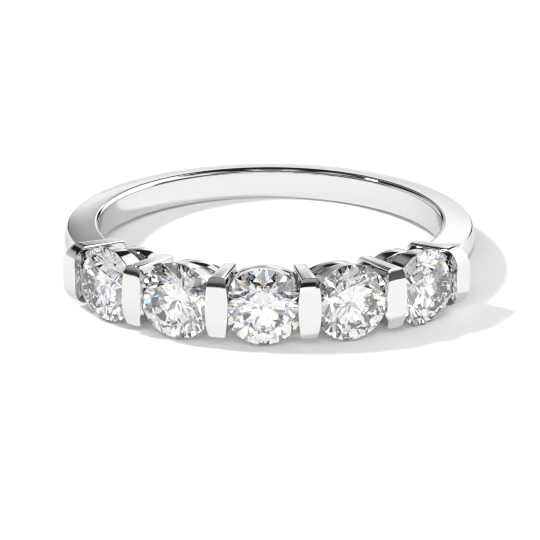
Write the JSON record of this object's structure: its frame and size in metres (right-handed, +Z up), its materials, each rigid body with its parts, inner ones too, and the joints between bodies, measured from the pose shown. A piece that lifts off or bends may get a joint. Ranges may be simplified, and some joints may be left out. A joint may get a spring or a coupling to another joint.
{
  "type": "bar-set moissanite ring",
  "caption": "Finger ring with a row of round brilliant-cut stones held between upright bars, on a slim domed shank, lying on its side.",
  "frame": {"origin": "centre of the finger hole", "axes": "+Z up from the surface that the ring lies on, +Y from the stones towards the back of the shank, +X along the row of stones from stone_1 towards stone_5"},
  "size_m": [0.0206, 0.0221, 0.004],
  "materials": {
    "white_metal": "mirror polish",
    "stone": "polished facets"
  },
  "bodies": {
    "root": {"band_and_bars": "white_metal", "stone_1": "stone", "stone_2": "stone", "stone_3": "stone", "stone_4": "stone", "stone_5": "stone"}
  },
  "joints": []
}
